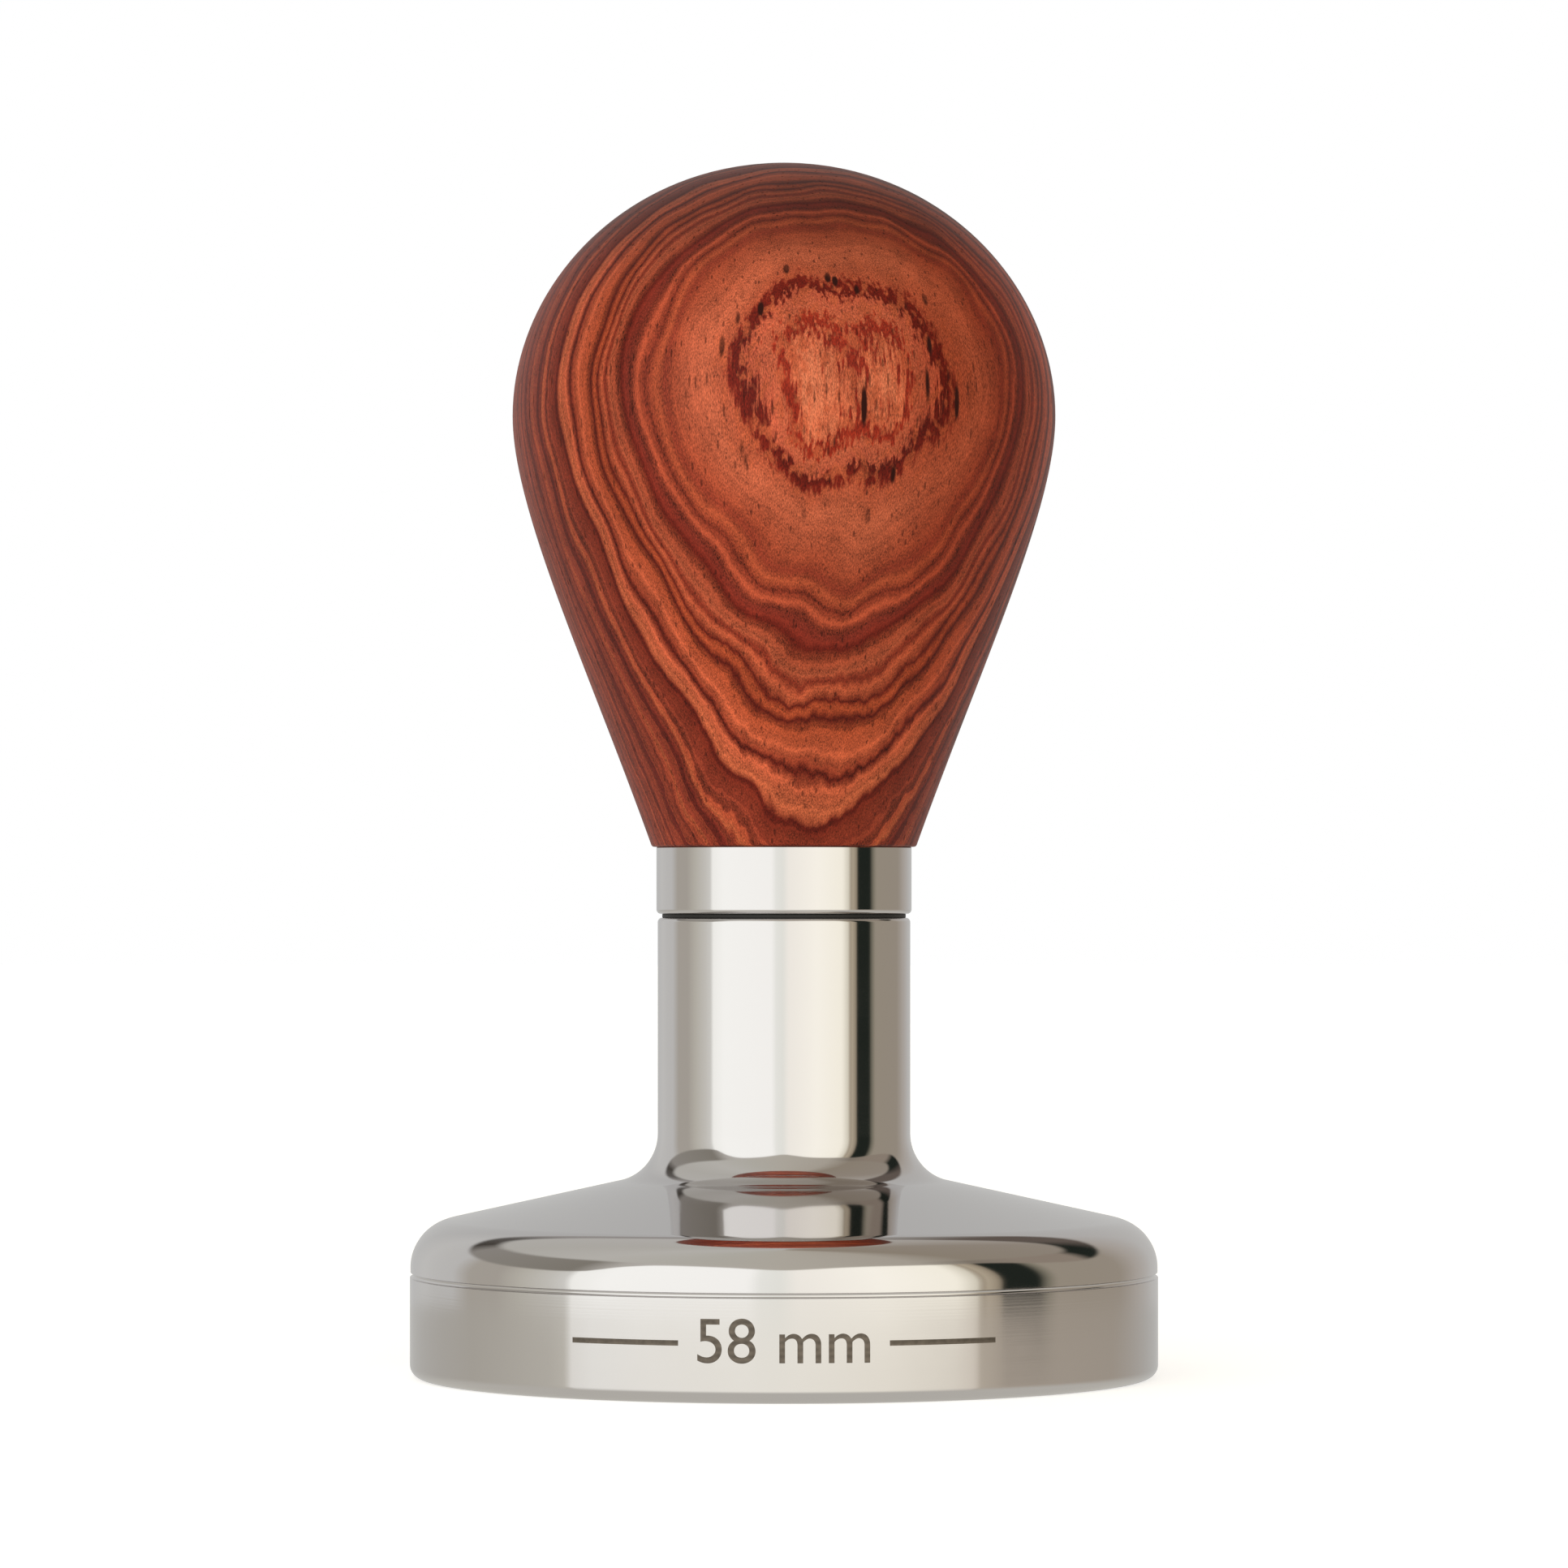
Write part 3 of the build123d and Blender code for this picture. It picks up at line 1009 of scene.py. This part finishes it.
class TAMPER_OT_base(Workshop, bpy.types.Operator):
    """Turn the piston, bell and stem from one bar and bore the stud's hole"""

    bl_idname = "tamper.base"
    bl_label = "Tamper base"

    def execute(self, context):
        size = context.scene.tamper_base
        top = BASE[1].z
        wall = BASE[1].x - size.mark_depth
        shoulder = BASE[1].x - size.shoulder_step
        stem = size.stem_diameter / 2
        groove, middle = size.groove_radius, size.wall_height
        slope = size.bell_slope
        land_top = middle + groove + size.shoulder_land
        shoulder_corner = land_top + size.shoulder_radius * tan((pi / 2 - slope) / 2)
        neck_corner = shoulder_corner + (shoulder - stem) * tan(slope)
        hole = STUD[1].x + size.hole_clearance
        hole_bottom = STUD[0].z - size.hole_end
        lower = rounded([(0, 0, 0), (wall, 0, size.edge_radius), (wall, middle - groove, 0)])
        # the groove is two quarter rounds, cut into the wall
        round_pull = arc_pull(groove, pi / 2)
        deepest = Vector((wall - groove, 0, middle))
        below, above = Vector((wall, 0, middle - groove)), Vector((shoulder, 0, middle + groove))
        along_z, along_x = Vector((0, 0, round_pull)), Vector((round_pull, 0, 0))
        cut = [
            (below, None, below - along_x),
            (deepest, deepest - along_z, deepest + along_z),
            (above, above - along_x, None),
        ]
        bell = [
            (shoulder, middle + groove, 0),
            (shoulder, shoulder_corner, size.shoulder_radius),
            (stem, neck_corner, size.neck_radius),
            (stem, top, size.stem_edge_radius),
            (hole + size.countersink, top, 0),
            (hole, top - size.countersink, 0),
            (hole, hole_bottom, 0),
            (0, hole_bottom - hole / tan(size.drill_angle), 0),
        ]
        piece = turn_on_lathe("tamper_base_turned", lower[:-1] + cut + rounded(bell)[1:])
        smooth(piece)
        hand_over(piece, polished_steel, "base", "tamper_base")
        return {"FINISHED"}


class TAMPER_OT_size_mark(Workshop, bpy.types.Operator):
    """Mark the piston's size on the front of its wall, between two plain rules"""

    bl_idname = "tamper.size_mark"
    bl_label = "Size mark"

    def execute(self, context):
        size = context.scene.tamper_mark
        wall = BASE[1].x
        deselect()
        bpy.ops.object.text_add()
        letters = context.object
        letters.data.body = size.text
        letters.data.align_x, letters.data.align_y = "CENTER", "CENTER"
        letters.data.size = size.letter_height / size.letter_share
        bpy.ops.object.convert(target="MESH")
        half_text = max(v.co.x for v in letters.data.vertices)
        rule = size.span / 2 - half_text - size.text_gap
        for side in (-1, 1):
            deselect()
            bpy.ops.mesh.primitive_plane_add(size=1, location=(side * (size.span - rule) / 2, 0, 0))
            bpy.ops.transform.resize(value=(rule, size.rule_width, 1))
            letters.select_set(True)
            context.view_layer.objects.active = letters
            bpy.ops.object.join()
        bpy.ops.object.transform_apply(location=True, rotation=True, scale=True)

        # narrow strips, so that the flat mark can follow the round wall
        bpy.ops.object.mode_set(mode="EDIT")
        cuts = int(size.span / 2 / size.strip)
        for i in range(-cuts, cuts + 1):
            bpy.ops.mesh.select_all(action="SELECT")
            bpy.ops.mesh.bisect(plane_co=(i * size.strip, 0, 0), plane_no=(1, 0, 0))
        bpy.ops.mesh.select_all(action="SELECT")
        bpy.ops.mesh.remove_doubles(threshold=2 * WELD)
        bpy.ops.mesh.extrude_region_move(TRANSFORM_OT_translate={"value": (0, 0, -size.thickness)})
        bpy.ops.mesh.select_all(action="SELECT")
        bpy.ops.mesh.normals_make_consistent(inside=False)
        bpy.ops.object.mode_set(mode="OBJECT")
        letters.name = letters.data.name = "size_mark"
        for vertex in letters.data.vertices:
            across, up, out = vertex.co
            turn, radius = across / wall, wall + out
            vertex.co = (radius * sin(turn), -radius * cos(turn), size.height + up)
        hand_over(letters, laser_mark, "base", None)
        return {"FINISHED"}


class TAMPER_OT_stud(Workshop, bpy.types.Operator):
    """Roll the M8 thread of the set screw, chamfer its ends and sink its hexagon socket"""

    bl_idname = "tamper.stud"
    bl_label = "Stud"

    def execute(self, context):
        size = context.scene.tamper_thread
        low, high, outer = STUD[0].z, STUD[1].z, STUD[1].x
        form = (size.ridge, size.pitch, size.crest, size.root)
        piece = threaded_rod("stud_threaded", outer, form, low, high, size.steps)
        section = [
            (0, low, 0),
            (outer - size.chamfer, low, 0),
            (outer + size.clearance, low + size.chamfer + size.clearance, 0),
            (outer + size.clearance, high - size.chamfer - size.clearance, 0),
            (outer - size.chamfer, high, 0),
            (0, high, 0),
        ]
        blank = turn_on_lathe("stud_blank", rounded(section), facets=size.steps)
        combine(piece, blank, "INTERSECT")
        socket = hexagon("socket", size.socket_width, high - size.socket_depth, high + MM)
        combine(piece, socket, "DIFFERENCE")
        smooth(piece, weighted=False)
        hand_over(piece, rolled_steel, "base", "stud")
        return {"FINISHED"}


class TAMPER_OT_seam_washer(Workshop, bpy.types.Operator):
    """Punch the nylon washer that lies in the seam"""

    bl_idname = "tamper.seam_washer"
    bl_label = "Seam washer"

    def execute(self, context):
        size = context.scene.tamper_washer
        low, high, rim = WASHER[0].z, WASHER[1].z, WASHER[1].x
        bore = STUD[1].x + size.bore_clearance
        edge = size.edge_radius
        piece = turn_on_lathe(
            "seam_washer_punched",
            rounded([(bore, low, edge), (rim, low, edge), (rim, high, edge), (bore, high, edge)]),
            closed=True,
            facets=INNER_FACETS,
            smoothness=4,
        )
        smooth(piece)
        hand_over(piece, black_nylon, "seam", "seam_washer")
        return {"FINISHED"}


class TAMPER_OT_ferrule(Workshop, bpy.types.Operator):
    """Turn the steel collar, with its cup for the tenon and its recess for the flange"""

    bl_idname = "tamper.ferrule"
    bl_label = "Ferrule"

    def execute(self, context):
        size = context.scene.tamper_ferrule
        insert = context.scene.tamper_insert
        fit = context.scene.tamper_grip.fit_clearance
        low, high, outer = FERRULE[0].z, FERRULE[1].z, FERRULE[1].x
        bore = STUD[1].x + insert.shank_wall + fit
        recess = INSERT[1].x + size.recess_clearance
        recess_top = INSERT[0].z + insert.flange_thickness
        cup = outer - size.wall + fit
        section = [
            (bore, recess_top, 0),
            (recess, recess_top, 0),
            (recess, low, 0),
            (outer, low, size.lower_radius),
            (outer, high, size.upper_radius),
            (cup, high, 0),
            (cup, recess_top + size.web, 0),
            (bore, recess_top + size.web, 0),
        ]
        piece = turn_on_lathe("ferrule_turned", rounded(section), closed=True)
        smooth(piece)
        hand_over(piece, polished_steel, "handle", "ferrule")
        return {"FINISHED"}


class TAMPER_OT_insert(Workshop, bpy.types.Operator):
    """Turn the brass insert, cut its two threads and its hexagon drive"""

    bl_idname = "tamper.insert"
    bl_label = "Threaded insert"

    def execute(self, context):
        size = context.scene.tamper_insert
        thread = context.scene.tamper_thread
        low, high, flange = INSERT[0].z, INSERT[1].z, INSERT[1].x
        shank = STUD[1].x + size.shank_wall
        flange_top = low + size.flange_thickness
        wood_form = (thread.wood_ridge, thread.wood_pitch, thread.wood_crest, thread.wood_root)
        middle = low + size.flange_thickness / 2
        piece = threaded_rod("threaded_insert_turned", shank, wood_form, middle, high, thread.steps)
        lead = size.chamfer + thread.wood_ridge
        section = [
            (0, low, 0),
            (shank + MM, low, 0),
            (shank + MM, high - lead - MM, 0),
            (shank - lead, high, 0),
            (0, high, 0),
        ]
        envelope = turn_on_lathe("insert_envelope", rounded(section), facets=INNER_FACETS)
        combine(piece, envelope, "INTERSECT")
        section = [
            (0, low, 0),
            (flange, low, size.chamfer / 4),
            (flange, flange_top, size.chamfer / 4),
            (0, flange_top, 0),
        ]
        disc = turn_on_lathe("insert_flange", rounded(section), facets=INNER_FACETS, smoothness=4)
        combine(piece, disc, "UNION")
        form = (thread.ridge, thread.pitch, thread.crest, thread.root)
        tap = threaded_rod("tap", STUD[1].x + thread.clearance, form, low - MM, high + MM, thread.steps)
        combine(piece, tap, "DIFFERENCE")
        drive = hexagon("drive", 2 * (STUD[1].x + size.drive_gap), low - MM, low + size.drive_depth)
        combine(piece, drive, "DIFFERENCE")
        smooth(piece, weighted=False)
        hand_over(piece, machined_brass, "handle", "threaded_insert")
        return {"FINISHED"}


class TAMPER_OT_grip(Workshop, bpy.types.Operator):
    """Turn the wooden grip, with its tenon and the insert's hole"""

    bl_idname = "tamper.grip"
    bl_label = "Grip"

    def execute(self, context):
        size = context.scene.tamper_grip
        ferrule = context.scene.tamper_ferrule
        insert = context.scene.tamper_insert
        bottom, crown, widest = GRIP[0].z, GRIP[1].z, GRIP[1].x
        foot_height = FERRULE[1].z
        foot = FERRULE[1].x + size.foot_overhang
        tenon = FERRULE[1].x - ferrule.wall
        hole = STUD[1].x + insert.shank_wall + size.fit_clearance
        hole_top = INSERT[1].z + size.hole_end
        equator = foot_height + size.equator_rise
        bore = [
            (0, hole_top + hole / tan(size.drill_angle), 0),
            (hole, hole_top, 0),
            (hole, bottom, 0),
            (tenon, bottom, 0),
            (tenon, foot_height, 0),
        ]
        lean = Vector((sin(size.flank_angle), 0, cos(size.flank_angle)))
        corner = Vector((foot, 0, foot_height))
        turn = pi / 2 - size.flank_angle
        reach = size.foot_radius * tan(turn / 2)
        pull = arc_pull(size.foot_radius, turn)
        inwards = Vector((-1, 0, 0))
        rim_start, rim_end = corner + inwards * reach, corner + lean * reach
        flank = corner + lean * (size.neck_fullness * size.equator_rise)
        side = Vector((widest, 0, equator))
        top = Vector((0, 0, crown))
        outside = [
            (rim_start, None, rim_start - inwards * pull),
            (rim_end, rim_end - lean * pull, flank),
            (
                side,
                side - Vector((0, 0, size.belly_fullness * size.equator_rise)),
                side + Vector((0, 0, size.cheek_fullness * (crown - equator))),
            ),
            (top, top + Vector((size.crown_fullness * widest, 0, 0)), None),
        ]
        piece = turn_on_lathe("grip_turned", rounded(bore) + outside, smoothness=40)
        smooth(piece)
        hand_over(piece, oiled_bubinga, "handle", "grip")
        return {"FINISHED"}


OPERATORS = (
    TAMPER_OT_stage,
    TAMPER_OT_base,
    TAMPER_OT_size_mark,
    TAMPER_OT_stud,
    TAMPER_OT_seam_washer,
    TAMPER_OT_ferrule,
    TAMPER_OT_insert,
    TAMPER_OT_grip,
)


class TAMPER_PT_workshop(bpy.types.Panel):
    """Lists the steps that make the tamper."""

    bl_idname = "TAMPER_PT_workshop"
    bl_label = "Espresso Tamper"
    bl_space_type = "VIEW_3D"
    bl_region_type = "UI"
    bl_category = "Tamper"

    def draw(self, context):
        for step in OPERATORS:
            self.layout.operator(step.bl_idname)
        for group in GROUPS:
            box = self.layout.box()
            box.label(text=group.removeprefix("tamper_").title())
            settings = getattr(context.scene, group)
            for name in settings.__annotations__:
                box.prop(settings, name)


GROUPS = {
    "tamper_stage": StageSettings,
    "tamper_base": BaseSizes,
    "tamper_mark": MarkSizes,
    "tamper_thread": ThreadSizes,
    "tamper_washer": WasherSizes,
    "tamper_ferrule": FerruleSizes,
    "tamper_insert": InsertSizes,
    "tamper_grip": GripSizes,
    "tamper_finishes": Finishes,
}


def register():
    """Makes the settings, the operators and the panel known to Blender."""
    for name, group in GROUPS.items():
        bpy.utils.register_class(group)
        setattr(bpy.types.Scene, name, PointerProperty(type=group))
    for kind in (*OPERATORS, TAMPER_PT_workshop):
        bpy.utils.register_class(kind)


def unregister():
    """Takes them away again."""
    for kind in (TAMPER_PT_workshop, *reversed(OPERATORS)):
        bpy.utils.unregister_class(kind)
    for name, group in reversed(GROUPS.items()):
        delattr(bpy.types.Scene, name)
        bpy.utils.unregister_class(group)


def main():
    """Makes the stage and every piece."""
    register()
    bpy.ops.tamper.stage()
    bpy.ops.tamper.base()
    bpy.ops.tamper.size_mark()
    bpy.ops.tamper.stud()
    bpy.ops.tamper.seam_washer()
    bpy.ops.tamper.ferrule()
    bpy.ops.tamper.insert()
    bpy.ops.tamper.grip()


if __name__ == "__main__":
    main()
